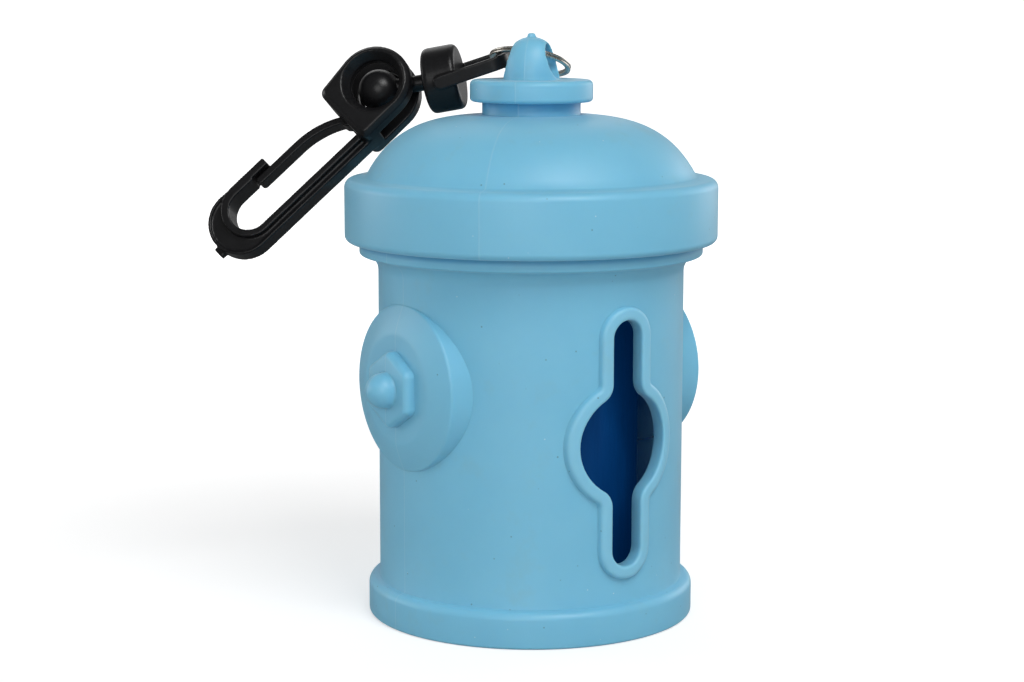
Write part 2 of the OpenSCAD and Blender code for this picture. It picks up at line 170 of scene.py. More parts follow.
def makeStudio():
    bpy.ops.object.select_all(action="DESELECT")
    bpy.ops.mesh.primitive_plane_add(size=studio["floorSize"], location=mm(0, 0, -studio["floorBelow"]))
    table = bpy.context.object
    table.name = "table"
    table.data.materials.append(tableMaterial())
    table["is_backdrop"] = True

    world = bpy.data.worlds.new("studio")
    bpy.context.scene.world = world
    world.use_nodes = True
    tree = world.node_tree
    tree.nodes.clear()
    aim = addNode(tree, "ShaderNodeTexCoord").outputs["Generated"]
    towards = addNode(tree, "ShaderNodeVectorMath", {0: aim, 1: studio["backdrop"]}, operation="DOT_PRODUCT")
    lightFrom, lightTo = studio["lightSpread"]
    level = addNode(tree, "ShaderNodeMapRange",
                    {0: towards.outputs["Value"], 1: lightFrom, 2: lightTo,
                     3: studio["roomLight"], 4: studio["backdropLight"]})
    shineFrom, shineTo = studio["shineSpread"]
    shine = addNode(tree, "ShaderNodeMapRange",
                    {0: towards.outputs["Value"], 1: shineFrom, 2: shineTo,
                     3: studio["roomShine"], 4: studio["backdropShine"]})
    rays = addNode(tree, "ShaderNodeLightPath")
    either = addNode(tree, "ShaderNodeMix",
                     {0: rays.outputs["Is Glossy Ray"], 2: level.outputs[0], 3: shine.outputs[0]})
    height = addNode(tree, "ShaderNodeSeparateXYZ", {0: aim})
    dimmed = addNode(tree, "ShaderNodeMapRange",
                     {0: height.outputs["Z"], 1: 0, 2: 1, 3: 1, 4: 1 - studio["overhead"]})
    strength = addNode(tree, "ShaderNodeMath", {0: either.outputs[0], 1: dimmed.outputs[0]},
                       operation="MULTIPLY")
    lit = addNode(tree, "ShaderNodeBackground", {"Color": (1, 1, 1, 1), "Strength": strength.outputs[0]})
    white = addNode(tree, "ShaderNodeBackground", {"Color": (1, 1, 1, 1), "Strength": 1})
    mixed = addNode(tree, "ShaderNodeMixShader",
                    {0: seenWhite(tree), 1: lit.outputs[0], 2: white.outputs[0]})
    addNode(tree, "ShaderNodeOutputWorld", {"Surface": mixed.outputs[0]})

    for name, (place, size, power) in studio["boxes"].items():
        light = bpy.data.lights.new(name, "AREA")
        light.shape = "SQUARE"
        light.size = mm(size)
        light.energy = power
        lamp = bpy.data.objects.new(name, light)
        bpy.context.scene.collection.objects.link(lamp)
        lamp.location = mm(*place)
        lamp.rotation_euler = (mm(*studio["aim"]) - lamp.location).to_track_quat("-Z", "Y").to_euler()


makeStudio()
print("studio ready")


vinyl = {
    "colour": "#7bc1dd",
    "deeper": "#71b8d7",
    "speck": "#41606f",
    "dust": "#cfe0e8",
    "smear": "#8aa69f",
    "rubbed": "#9bd3e8",  # the raised rim that the bags are drawn over
    "paintedShade": "#4f9fc9",  # painted shade: a darker colour for the neck under the plate and the gap under the lid's skirt
    "cloud": 11,  # mm, the unevenness of the pigment
    "speckCell": 2.6,  # mm between specks in the bulk, of which the surface cuts a few
    "speckRadius": 0.13,
    "speckShare": 0.7,  # of the cells that hold a speck
    "dustCell": 3.4,
    "dustRadius": 0.1,
    "dustShare": 0.6,
    "spotStrength": 0.6,
    "smearSize": 10,
    "smearStrength": 0.2,
    "grain": 0.4,  # mm, the fine tooth of the mould, drawn coarser than it is
    "grainDepth": 0.06,
    "dents": 6,
    "dentDepth": 0.8,
    "seam": 0.17,  # mm, half the width of the line where the mould halves met
    "seamRise": 0.6,
    "seamTint": 0.12,
    "relief": 0.12,  # mm, what the depths and rises above are shares of
    "wornSize": 11.1,
    "roughness": 0.43,
}

# where the colour differs: each line is (measure, from mm, to mm, share before, share after)
vinylZones = {
    "rubbedRim": [
        ("radius", 22.9, 23.35, 0, 0.24),
        ("Y", -17.99, -18, 0, 1),
        ("Z", 8, 8.01, 0, 1),
        ("Z", 51, 50.99, 0, 1),
    ],
    # painted shade round the lid's neck, under the plate
    "neck": [
        ("radius", 8, 7.3, 0, 1),
        ("Z", 72, 72.01, 0, 1),
        ("Z", 73.8, 75.3, 0.25, 1),
        ("Z", 75.8, 75.79, 0, 1),
    ],
    "skirtLine": [  # painted shade in the gap that the lid's skirt leaves round the collar
        ("radius", 25, 25.01, 0, 1),
        ("radius", 25.35, 25.34, 0, 1),
        ("Z", 54.4, 54.9, 0, 0.85),
        ("Z", 56.6, 55.6, 0, 1),
    ],
}


def zoneMask(tree, place, zone):
    # all of a zone's steps have to hold, and its radius is the distance from the upright axis
    split = addNode(tree, "ShaderNodeSeparateXYZ", {0: place})
    flatPlace = addNode(tree, "ShaderNodeCombineXYZ", {"X": split.outputs["X"], "Y": split.outputs["Y"]})
    radius = addNode(tree, "ShaderNodeVectorMath", {0: flatPlace.outputs[0]}, operation="LENGTH")
    measures = {"radius": radius.outputs["Value"], "Y": split.outputs["Y"], "Z": split.outputs["Z"]}
    mask = 1
    for measure, start, end, before, after in vinylZones[zone]:
        step = addNode(tree, "ShaderNodeMapRange",
                       {0: measures[measure], 1: mm(start), 2: mm(end), 3: before, 4: after})
        mask = addNode(tree, "ShaderNodeMath", {0: mask, 1: step.outputs[0]}, operation="MULTIPLY").outputs[0]
    return mask


def scattered(tree, place, cell, radius, share):
    # round spots in the bulk of the plastic, in some of the cells only
    cells = addNode(tree, "ShaderNodeTexVoronoi", {"Vector": place, "Scale": 1000 / cell})
    inside = addNode(tree, "ShaderNodeMapRange",
                     {0: cells.outputs["Distance"], 1: radius * 1.3 / cell, 2: radius * 0.6 / cell,
                      3: 0, 4: vinyl["spotStrength"]})
    tints = addNode(tree, "ShaderNodeSeparateColor", {0: cells.outputs["Color"]})
    chosen = addNode(tree, "ShaderNodeMath", {0: tints.outputs[0], 1: share}, operation="LESS_THAN")
    spots = addNode(tree, "ShaderNodeMath", {0: inside.outputs[0], 1: chosen.outputs[0]}, operation="MULTIPLY")
    return spots.outputs[0]


def mouldedVinyl(name, seamNormal):
    # flexible PVC from a two-part mould: satin, slightly uneven, with handling marks, a thin seam line and
    # painted shade in the neck and under the skirt
    v = vinyl
    material, tree = freshMaterial(name)
    place = addNode(tree, "ShaderNodeTexCoord").outputs["Object"]

    # broad, faint unevenness of the pigment
    cloud = addNode(tree, "ShaderNodeTexNoise",
                    {"Vector": place, "Scale": 1000 / v["cloud"], "Detail": 5, "Roughness": 0.62})
    tone = addNode(tree, "ShaderNodeMix",
                   {0: cloud.outputs["Fac"], 6: hexColour(v["deeper"]), 7: hexColour(v["colour"])},
                   data_type="RGBA").outputs[2]

    # greyish smears from handling
    smear = addNode(tree, "ShaderNodeTexNoise",
                    {"Vector": place, "Scale": 1000 / v["smearSize"], "Detail": 4, "Roughness": 0.7})
    smearMask = addNode(tree, "ShaderNodeMapRange",
                        {0: smear.outputs["Fac"], 1: 0.58, 2: 0.78, 3: 0, 4: v["smearStrength"]})

    # the seam stands up by a few hundredths of a millimetre and holds pale dust
    seam = addNode(tree, "ShaderNodeVectorMath", {0: place, 1: seamNormal}, operation="DOT_PRODUCT")
    offSeam = addNode(tree, "ShaderNodeMath", {0: seam.outputs["Value"]}, operation="ABSOLUTE")
    ridge = addNode(tree, "ShaderNodeMapRange", {0: offSeam.outputs[0], 1: 0, 2: mm(v["seam"]), 3: 1, 4: 0})
    seamMask = addNode(tree, "ShaderNodeMath", {0: ridge.outputs[0], 1: v["seamTint"]}, operation="MULTIPLY")

    # painted shade: the neck under the plate and the gap under the lid's skirt are darkened in the colour
    paintedShadeMask = addNode(tree, "ShaderNodeMath",
                       {0: zoneMask(tree, place, "neck"), 1: zoneMask(tree, place, "skirtLine")},
                       operation="MAXIMUM")
    layers = [
        (zoneMask(tree, place, "rubbedRim"), "rubbed"),
        (paintedShadeMask.outputs[0], "paintedShade"),
        (smearMask.outputs[0], "smear"),
        (scattered(tree, place, v["speckCell"], v["speckRadius"], v["speckShare"]), "speck"),
        (scattered(tree, place, v["dustCell"], v["dustRadius"], v["dustShare"]), "dust"),
        (seamMask.outputs[0], "dust"),
    ]
    for mask, colour in layers:
        tone = addNode(tree, "ShaderNodeMix", {0: mask, 6: tone, 7: hexColour(v[colour])},
                       data_type="RGBA").outputs[2]

    grain = addNode(tree, "ShaderNodeTexNoise", {"Vector": place, "Scale": 1000 / v["grain"], "Detail": 2})
    softGrain = addNode(tree, "ShaderNodeMath", {0: grain.outputs["Fac"], 1: v["grainDepth"]},
                        operation="MULTIPLY")
    dents = addNode(tree, "ShaderNodeTexNoise", {"Vector": place, "Scale": 1000 / v["dents"], "Detail": 2})
    relief = addNode(tree, "ShaderNodeMath",
                     {0: dents.outputs["Fac"], 1: v["dentDepth"], 2: softGrain.outputs[0]},
                     operation="MULTIPLY_ADD")
    raised = addNode(tree, "ShaderNodeMath", {0: ridge.outputs[0], 1: v["seamRise"], 2: relief.outputs[0]},
                     operation="MULTIPLY_ADD")
    bump = addNode(tree, "ShaderNodeBump",
                   {"Strength": 0.3, "Distance": mm(v["relief"]), "Height": raised.outputs[0]})

    # handled places are a little smoother
    worn = addNode(tree, "ShaderNodeTexNoise", {"Vector": place, "Scale": 1000 / v["wornSize"], "Detail": 3})
    roughness = addNode(tree, "ShaderNodeMapRange",
                        {0: worn.outputs["Fac"], 1: 0.3, 2: 0.7,
                         3: v["roughness"] - 0.05, 4: v["roughness"] + 0.06})
    surface = addNode(tree, "ShaderNodeBsdfPrincipled", {
        "Base Color": tone,
        "Roughness": roughness.outputs[0],
        "IOR": 1.52,
        "Normal": bump.outputs[0],
        "Sheen Weight": 0.13,
        "Sheen Roughness": 0.35,
        "Subsurface Weight": 0.25,
        "Subsurface Radius": (0.5, 0.9, 1.2),
        "Subsurface Scale": 0.0012,
    })
    addNode(tree, "ShaderNodeOutputMaterial", {"Surface": surface.outputs[0]})
    return material


acetal = {
    "deep": "#0e0e0f",
    "greyer": "#18181a",
    "cloud": 2.5,  # mm
    "scratchLong": 2.86,
    "scratchWide": 0.222,
    "scratchTurn": (0.2, 0.5, 0.7),
    "scratchDepth": 0.012,  # share of the waves' height
    "waves": 2.08,
    "relief": 0.1,
    "roughness": (0.28, 0.4),
}


def mouldedAcetal():
    # black acetal, injection moulded: a soft gloss with flow waves and fine rubbed scratches
    a = acetal
    material, tree = freshMaterial("mouldedAcetal")
    place = addNode(tree, "ShaderNodeTexCoord").outputs["Object"]
    cloud = addNode(tree, "ShaderNodeTexNoise", {"Vector": place, "Scale": 1000 / a["cloud"], "Detail": 3})
    tone = addNode(tree, "ShaderNodeMix",
                   {0: cloud.outputs["Fac"], 6: hexColour(a["deep"]), 7: hexColour(a["greyer"])},
                   data_type="RGBA")
    wide = 1000 / a["scratchWide"]
    stretched = addNode(tree, "ShaderNodeMapping", {"Vector": place, "Rotation": a["scratchTurn"],
                                                    "Scale": (1000 / a["scratchLong"], wide, wide)})
    scratch = addNode(tree, "ShaderNodeTexNoise", {"Vector": stretched.outputs[0], "Scale": 1, "Detail": 2})
    smooth, rough = a["roughness"]
    rubbed = addNode(tree, "ShaderNodeMapRange",
                     {0: scratch.outputs["Fac"], 1: 0.35, 2: 0.75, 3: smooth, 4: rough})
    waves = addNode(tree, "ShaderNodeTexNoise", {"Vector": place, "Scale": 1000 / a["waves"], "Detail": 1})
    height = addNode(tree, "ShaderNodeMath",
                     {0: scratch.outputs["Fac"], 1: a["scratchDepth"], 2: waves.outputs["Fac"]},
                     operation="MULTIPLY_ADD")
    bump = addNode(tree, "ShaderNodeBump",
                   {"Strength": 0.12, "Distance": mm(a["relief"]), "Height": height.outputs[0]})
    surface = addNode(tree, "ShaderNodeBsdfPrincipled", {
        "Base Color": tone.outputs[2],
        "Roughness": rubbed.outputs[0],
        "IOR": 1.48,
        "Specular IOR Level": 0.38,
        "Normal": bump.outputs[0],
    })
    addNode(tree, "ShaderNodeOutputMaterial", {"Surface": surface.outputs[0]})
    return material


steel = {
    "dull": "#c4bfb5",
    "bright": "#ece8e0",
    "stain": 2,  # mm
    "drawing": 0.1667,  # mm between the marks of the die, drawn coarser than they are
    "relief": 0.03,
    "roughness": (0.2, 0.38),
}


def platedSpringSteel():
    # nickel-plated spring wire, drawn: bright, with faint marks of the die
    material, tree = freshMaterial("platedSpringSteel")
    place = addNode(tree, "ShaderNodeTexCoord").outputs["Object"]
    stain = addNode(tree, "ShaderNodeTexNoise", {"Vector": place, "Scale": 1000 / steel["stain"], "Detail": 3})
    tone = addNode(tree, "ShaderNodeMix",
                   {0: stain.outputs["Fac"], 6: hexColour(steel["dull"]), 7: hexColour(steel["bright"])},
                   data_type="RGBA")
    marks = addNode(tree, "ShaderNodeTexNoise",
                    {"Vector": place, "Scale": 1000 / steel["drawing"], "Detail": 1})
    smooth, rough = steel["roughness"]
    roughness = addNode(tree, "ShaderNodeMapRange",
                        {0: marks.outputs["Fac"], 1: 0.3, 2: 0.7, 3: smooth, 4: rough})
    bump = addNode(tree, "ShaderNodeBump",
                   {"Strength": 0.15, "Distance": mm(steel["relief"]), "Height": marks.outputs["Fac"]})
    surface = addNode(tree, "ShaderNodeBsdfPrincipled", {
        "Base Color": tone.outputs[2],
        "Metallic": 1,
        "Roughness": roughness.outputs[0],
        "Normal": bump.outputs[0],
    })
    addNode(tree, "ShaderNodeOutputMaterial", {"Surface": surface.outputs[0]})
    return material


film = {
    "deep": "#002a58",
    "paler": "#003f78",
    "through": "#001d40",  # painted glow: emission that stands in for the little light that comes through the vinyl
    "layer": 0.4,  # mm, the film is 0.015 mm and is drawn coarser, so that its layers show on the ends
    "layerDepth": 0.12,
    "crease": 2.38,
    "creaseStretch": 0.22,  # creases run up the roll
    "relief": 0.5,
}


def blownFilm():
    # blown polyethylene film wound tight: thin, creased, with the layers showing on the ends, and a faint
    # painted glow for the light through the vinyl
    f = film
    material, tree = freshMaterial("bagFilm")
    place = addNode(tree, "ShaderNodeTexCoord").outputs["Object"]
    split = addNode(tree, "ShaderNodeSeparateXYZ", {0: place})
    flatPlace = addNode(tree, "ShaderNodeCombineXYZ", {"X": split.outputs["X"], "Y": split.outputs["Y"]})
    radius = addNode(tree, "ShaderNodeVectorMath", {0: flatPlace.outputs[0]}, operation="LENGTH")
    layers = addNode(tree, "ShaderNodeMath", {0: radius.outputs["Value"], 1: 2 * pi / mm(f["layer"])},
                     operation="MULTIPLY")
    rings = addNode(tree, "ShaderNodeMath", {0: layers.outputs[0]}, operation="SINE")
    stretched = addNode(tree, "ShaderNodeMapping", {"Vector": place, "Scale": (1, 1, f["creaseStretch"])})
    creases = addNode(tree, "ShaderNodeTexNoise",
                      {"Vector": stretched.outputs[0], "Scale": 1000 / f["crease"], "Detail": 4})
    height = addNode(tree, "ShaderNodeMath",
                     {0: rings.outputs[0], 1: f["layerDepth"], 2: creases.outputs["Fac"]},
                     operation="MULTIPLY_ADD")
    bump = addNode(tree, "ShaderNodeBump",
                   {"Strength": 0.6, "Distance": mm(f["relief"]), "Height": height.outputs[0]})
    tone = addNode(tree, "ShaderNodeMix",
                   {0: creases.outputs["Fac"], 6: hexColour(f["deep"]), 7: hexColour(f["paler"])},
                   data_type="RGBA")
    surface = addNode(tree, "ShaderNodeBsdfPrincipled", {
        "Base Color": tone.outputs[2],
        "Roughness": 0.6,
        "IOR": 1.51,
        "Specular IOR Level": 0.1,
        # painted glow: the film emits a little blue light in place of light through the vinyl walls
        "Emission Color": hexColour(f["through"]),
        "Emission Strength": 0.6,
        "Normal": bump.outputs[0],
    })
    addNode(tree, "ShaderNodeOutputMaterial", {"Surface": surface.outputs[0]})
    return material


board = {
    "dark": "#9c7f56",
    "pale": "#c9b08a",
    "fibre": 0.4,  # mm
    "relief": 0.05,
}


def kraftBoard():
    # kraft board wound to a tube: matt, with short fibres
    material, tree = freshMaterial("kraftBoard")
    place = addNode(tree, "ShaderNodeTexCoord").outputs["Object"]
    fibres = addNode(tree, "ShaderNodeTexNoise", {"Vector": place, "Scale": 1000 / board["fibre"], "Detail": 4})
    tone = addNode(tree, "ShaderNodeMix",
                   {0: fibres.outputs["Fac"], 6: hexColour(board["dark"]), 7: hexColour(board["pale"])},
                   data_type="RGBA")
    bump = addNode(tree, "ShaderNodeBump",
                   {"Strength": 0.5, "Distance": mm(board["relief"]), "Height": fibres.outputs["Fac"]})
    surface = addNode(tree, "ShaderNodeBsdfPrincipled", {
        "Base Color": tone.outputs[2],
        "Roughness": 0.85,
        "Normal": bump.outputs[0],
    })
    addNode(tree, "ShaderNodeOutputMaterial", {"Surface": surface.outputs[0]})
    return material


# the way in which the halves of each mould open
moulds = {
    "shell": (0, 1, 0),
    "lid": (0.6239, -0.7815, 0),
}

shellVinyl = mouldedVinyl("mouldedVinyl", moulds["shell"])
lidVinyl = mouldedVinyl("mouldedVinylLid", moulds["lid"])
blackAcetal = mouldedAcetal()
springSteel = platedSpringSteel()
bagFilm = blownFilm()
coreBoard = kraftBoard()
print("materials ready")


def selectOnly(piece):
    bpy.ops.object.select_all(action="DESELECT")
    piece.select_set(True)
    bpy.context.view_layer.objects.active = piece


def applyModifier(piece, kind, **settings):
    modifier = piece.modifiers.new(kind, kind)
    for name, value in settings.items():
        setattr(modifier, name, value)
    selectOnly(piece)
    bpy.ops.object.modifier_apply(modifier=modifier.name)


def smoothShade(piece, angle=None):
    selectOnly(piece)
    if angle is None:
        bpy.ops.object.shade_smooth()
    else:
        bpy.ops.object.shade_smooth_by_angle(angle=radians(angle))


def arcPoints(centre, radius, start, end, steps=8):
    angles = [radians(start + (end - start) * i / steps) for i in range(steps + 1)]
    return [(centre[0] + radius * cos(angle), centre[1] + radius * sin(angle)) for angle in angles]


def turned(name, profile, steps=192, axis="Z", height=0):
    # one point is extruded along the profile, then spun round the axis; profile is (radius, along), in mm
    def at(point):
        r, along = point
        return mm(r, 0, along) if axis == "Z" else mm(along, 0, height + r)

    bpy.ops.object.select_all(action="DESELECT")
    bpy.ops.mesh.primitive_plane_add(size=mm(0.01), location=(0, 0, 0))
    piece = bpy.context.object
    piece.name = name
    bpy.ops.object.mode_set(mode="EDIT")
    bpy.ops.mesh.select_mode(type="VERT")
    bpy.ops.mesh.select_all(action="SELECT")
    bpy.ops.mesh.merge(type="CENTER")
    bpy.ops.transform.translate(value=at(profile[0]))
    for a, b in zip(profile, profile[1:]):
        bpy.ops.mesh.extrude_region_move(TRANSFORM_OT_translate={"value": at(b) - at(a)})
    bpy.ops.mesh.select_all(action="SELECT")
    bpy.ops.mesh.spin(steps=steps, angle=2 * pi, center=(0, 0, mm(height)),
                      axis=(0, 0, 1) if axis == "Z" else (1, 0, 0))
    bpy.ops.mesh.select_all(action="SELECT")
    bpy.ops.mesh.remove_doubles(threshold=1e-6)
    bpy.ops.mesh.normals_make_consistent(inside=False)
    bpy.ops.object.mode_set(mode="OBJECT")
    return piece


def loopsBridged(name, loops, closeEnds=False):
    # each loop is a circle primitive whose points are moved to the outline, and neighbours are bridged
    count = len(loops[0])
    bpy.ops.object.select_all(action="DESELECT")
    bpy.ops.mesh.primitive_circle_add(vertices=count, radius=mm(1))
    piece = bpy.context.object
    piece.name = name
    bpy.ops.object.mode_set(mode="EDIT")
    bpy.ops.mesh.select_mode(type="VERT")

    def selectLoops(first, last):
        bpy.ops.mesh.select_all(action="DESELECT")
        work = bmesh.from_edit_mesh(piece.data)
        work.verts.ensure_lookup_table()
        for vertex in work.verts[first * count:last * count]:
            vertex.select = True
        work.select_flush_mode()
        bmesh.update_edit_mesh(piece.data)

    for index, points in enumerate(loops):
        if index:
            bpy.ops.mesh.select_all(action="DESELECT")
            bpy.ops.mesh.primitive_circle_add(vertices=count, radius=mm(1))
        work = bmesh.from_edit_mesh(piece.data)
        work.verts.ensure_lookup_table()
        for point, vertex in zip(points, work.verts[index * count:(index + 1) * count]):
            vertex.co = mm(*point)
        bmesh.update_edit_mesh(piece.data)
    for index in range(len(loops) - 1):
        selectLoops(index, index + 2)
        bpy.ops.mesh.bridge_edge_loops()
    if closeEnds:
        for index in (0, len(loops) - 1):
            selectLoops(index, index + 1)
            bpy.ops.mesh.edge_face_add()
    bpy.ops.mesh.select_all(action="SELECT")
    bpy.ops.mesh.normals_make_consistent(inside=False)
    bpy.ops.object.mode_set(mode="OBJECT")
    return piece


def cutAway(piece, tool):
    applyModifier(piece, "BOOLEAN", operation="DIFFERENCE", solver="EXACT", object=tool)
    bpy.data.objects.remove(tool)


def softened(piece, voxel, rounds):
    # a fine remesh and a few rounds of smoothing give every moulded edge its small radius
    applyModifier(piece, "REMESH", mode="VOXEL", voxel_size=mm(voxel))
    applyModifier(piece, "SMOOTH", factor=0.5, iterations=rounds)
    smoothShade(piece)


def mouldedCopy(node, name):
    # a copy of the CAD node with its loose triangles merged
    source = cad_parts[node]
    piece = bpy.data.objects.new(name, source.data.copy())
    piece.data.materials.clear()
    bpy.context.scene.collection.objects.link(piece)
    selectOnly(piece)
    bpy.ops.object.mode_set(mode="EDIT")
    bpy.ops.mesh.select_all(action="SELECT")
    bpy.ops.mesh.remove_doubles(threshold=1e-7)
    bpy.ops.object.mode_set(mode="OBJECT")
    return piece


def finishPiece(piece, body, material, slot, *nodes):
    # gives a piece its look and its body, and hides the CAD nodes that it stands for
    piece.data.materials.clear()
    piece.data.materials.append(material)
    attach(piece, body)
    if nodes:
        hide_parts(*nodes)


# sizes of the pieces are in mm, and angles in degrees
barrel = {
    "radius": 22.5,
    "wall": 2,
    "floor": 2.2,
    "floorRound": 1.5,
    "collarZ": 53.5,
    "collarRadius": 25.25,
    "collarTop": 62.8,
    "collarLowerEdge": 0.38,
    "collarUpperEdge": 0.5,
    "mouthEdge": 0.3,
    "hollow": 2.3,  # radius of the hollow under the collar
    "footRadius": 24.15,
    "footHeight": 5.3,
    "footLowerEdge": 0.45,
    "footUpperEdge": 1.2,
}


def makeBarrel():
    b = barrel
    r, foot, collar, bore = b["radius"], b["footRadius"], b["collarRadius"], b["radius"] - b["wall"]
    inCollar, mouth, collarZ, footTop = collar - b["wall"], b["mouthEdge"], b["collarZ"], b["footHeight"]
    footLower, footUpper = b["footLowerEdge"], b["footUpperEdge"]
    collarLower, collarUpper = b["collarLowerEdge"], b["collarUpperEdge"]
    outline = [(0, 0), (foot - footLower, 0)]
    outline += arcPoints((foot - footLower, footLower), footLower, -90, 0, 5)[1:]
    outline += arcPoints((foot - footUpper, footTop - footUpper), footUpper, 0, 84, 8)
    # a narrow crease where the foot meets the wall
    outline += [(r + 0.25, footTop + 0.02), (r + 0.07, footTop + 0.1), (r, footTop + 0.35)]
    # rings on the wall keep its long faces short
    outline += [(r, z) for z in (12, 20, 28, 36, 44)]
    outline += arcPoints((r + b["hollow"], collarZ - b["hollow"]), b["hollow"], 180, 90, 8)
    outline += arcPoints((collar - collarLower, collarZ + collarLower), collarLower, -90, 0, 5)
    outline += arcPoints((collar - collarUpper, b["collarTop"] - collarUpper), collarUpper, 0, 90, 5)
    outline += arcPoints((inCollar + mouth, b["collarTop"] - mouth), mouth, 90, 180, 4)
    # inside, the bore widens for the collar
    outline += [(inCollar, collarZ + b["wall"] + 0.3), (inCollar - 0.3, collarZ + 1.5),
                (bore + 0.3, collarZ - 1.1), (bore, collarZ - 1.9)]
    outline += [(bore, z) for z in range(50, 5, -3)]
    outline += arcPoints((bore - b["floorRound"], b["floor"] + b["floorRound"]), b["floorRound"], 0, -90, 6)
    outline += [(0, b["floor"])]
    return turned("barrelBody", outline)


slotRim = {
    "middle": 28.5,
    "length": 35.3,
    "width": 5,
    "eye": 14.9,  # diameter of the round middle
    "fillet": 2.8,
    "cut": 1.3,  # growth of the cut through the barrel that the rim lines
    "cutDepth": (-26, -12),  # from in front of the wall to inside the bore
    # section of the rim from inside the bore to the outer foot: (growth, height over the barrel's side)
    "section": [(1.6, -1.8), (1.25, -2.03), (1.1, -1.95), (0.2, -1.42), (0.05, -1.36), (0, -1.28),
                (0, 0.4), (0.04, 0.62), (0.13, 0.79), (0.3, 0.88), (0.6, 0.91), (1.2, 0.91),
                (1.46, 0.88), (1.67, 0.78), (1.8, 0.62), (1.87, 0.42), (1.91, 0.15), (1.94, 0.02),
                (2, -0.06), (2.05, -0.6)],
}


def slotLoop(growth, steps=10):
    # the slot's outline grown by some mm, always with the same number of points, from (across, up)
    s = slotRim
    eye, arm = s["eye"] / 2 + growth, s["width"] / 2 + growth
    f = max(s["fillet"] - growth, 0.12)
    meet = sqrt((eye + f) ** 2 - (arm + f) ** 2)
    end = s["length"] / 2 + growth - arm
    turn = acos((arm + f) / (eye + f))
    quarter = [(eye * cos(turn * i / steps), eye * sin(turn * i / steps)) for i in range(steps)]
    quarter += [(arm + f - f * cos(turn * (1 - i / steps)), meet - f * sin(turn * (1 - i / steps)))
                for i in range(steps)]
    quarter += [(arm, meet + (end - meet) * i / steps) for i in range(steps)]
    quarter += [(arm * cos(pi / 2 * i / steps), end + arm * sin(pi / 2 * i / steps)) for i in range(steps)]
    half = quarter + [(0, end + arm)] + [(-x, z) for x, z in reversed(quarter[1:])]
    return half + [(-eye, 0)] + [(x, -z) for x, z in reversed(half[1:])][:len(half) - 1]


def onBarrel(loop, height):
    # lays a flat outline on the front of the barrel
    r = barrel["radius"] + height
    return [(x, -sqrt(r * r - x * x), z + slotRim["middle"]) for x, z in loop]


def makeSlot(body):
    outline = slotLoop(slotRim["cut"])
    loops = [[(x, y, z + slotRim["middle"]) for x, z in outline] for y in slotRim["cutDepth"]]
    cutAway(body, loopsBridged("slotCutter", loops, closeEnds=True))
    rim = loopsBridged("slotRim", [onBarrel(slotLoop(g), h) for g, h in slotRim["section"]])
    smoothShade(rim)
    return rim


nozzle = {
    "height": 35.5,
    "radius": 12.12,
    "root": 18.6,  # where it starts inside the wall, from the barrel's axis
    "face": 23.9,
    "border": 4.3,  # width of the border that slopes back round the face
    "slope": 1.28,  # how far it slopes back
    "bulge": 1.25,  # 1 would be a straight slope
    "edge": 0.5,
    "nutAcross": 11.4,
    "nutHeight": 1.7,
    "nutSunk": 1,
    "nutBevel": 0.8,
    "stud": 5.1,
    "studRise": {-1: 2.2, 1: 1.35},  # how far out the stud's middle is, on the left and the right cap
}


def makeCap(name, side):
    n = nozzle
    face, r, edge = n["face"], n["radius"], n["edge"]
    edgeAlong = face - n["slope"] - edge + 0.02
    outline = [(r + 0.1, n["root"]), (r + 0.03, n["root"] + 1), (r, edgeAlong)]
    outline += arcPoints((r - edge, edgeAlong), edge, 5, 74, 7)
    last = outline[-1][0]
    for i in range(1, 15):
        outline.append((last - (n["border"] - 0.4) * i / 14, face - n["slope"] * (1 - i / 14) ** n["bulge"]))
    outline += [(last - n["border"], face + 0.01), (0, face + 0.02)]
    cap = turned(name, [(out, along * side) for out, along in outline], steps=128, axis="X", height=n["height"])
    smoothShade(cap)
    return cap


def makeNut(name, side):
    n = nozzle
    middle = n["face"] + (n["nutHeight"] - n["nutSunk"]) / 2
    bpy.ops.object.select_all(action="DESELECT")
    bpy.ops.mesh.primitive_cylinder_add(vertices=6, radius=mm(n["nutAcross"] / 2),
                                        depth=mm(n["nutHeight"] + n["nutSunk"]),
                                        location=mm(side * middle, 0, n["height"]), rotation=(0, pi / 2, 0))
    nut = bpy.context.object
    nut.name = name + "Nut"
    bpy.ops.object.transform_apply(location=True, rotation=True, scale=True)
    bpy.ops.object.mode_set(mode="EDIT")
    bpy.ops.mesh.select_all(action="SELECT")
    bpy.ops.transform.rotate(value=radians(30), orient_axis="X", center_override=mm(0, 0, n["height"]))
    bpy.ops.object.mode_set(mode="OBJECT")
    applyModifier(nut, "BEVEL", width=mm(n["nutBevel"]), segments=6, limit_method="ANGLE",
                  angle_limit=radians(30))
    smoothShade(nut, 40)
    return nut


def makeStud(name, side):
    n = nozzle
    rise, ball, foot = n["studRise"][side], n["stud"] / 2, n["nutHeight"]
    outline = []
    if rise > foot:  # a high stud has a small fillet round its foot
        outline = [(ball + 0.35, foot - 0.2), (ball + 0.12, foot + 0.03), (ball + 0.02, foot + 0.2)]
    outline += [p for p in arcPoints((0, rise), ball, 0, 90, 20) if p[1] > foot - 0.3]
    stud = turned(name + "Stud", [(out, (n["face"] + along) * side) for out, along in outline],
                  steps=64, axis="X", height=n["height"])
    smoothShade(stud)
    return stud


barrelBody = makeBarrel()
rimPiece = makeSlot(barrelBody)
smoothShade(barrelBody, 32)
finishPiece(barrelBody, "shell", shellVinyl, "blue_shell", "barrel_shell")
finishPiece(rimPiece, "shell", shellVinyl, "blue_shell")
for nozzleName, nozzleSide in (("nozzleCapLeft", -1), ("nozzleCapRight", 1)):
    for makePart in (makeCap, makeNut, makeStud):
        finishPiece(makePart(nozzleName, nozzleSide), "shell", shellVinyl, "blue_shell")
print("barrel ready")


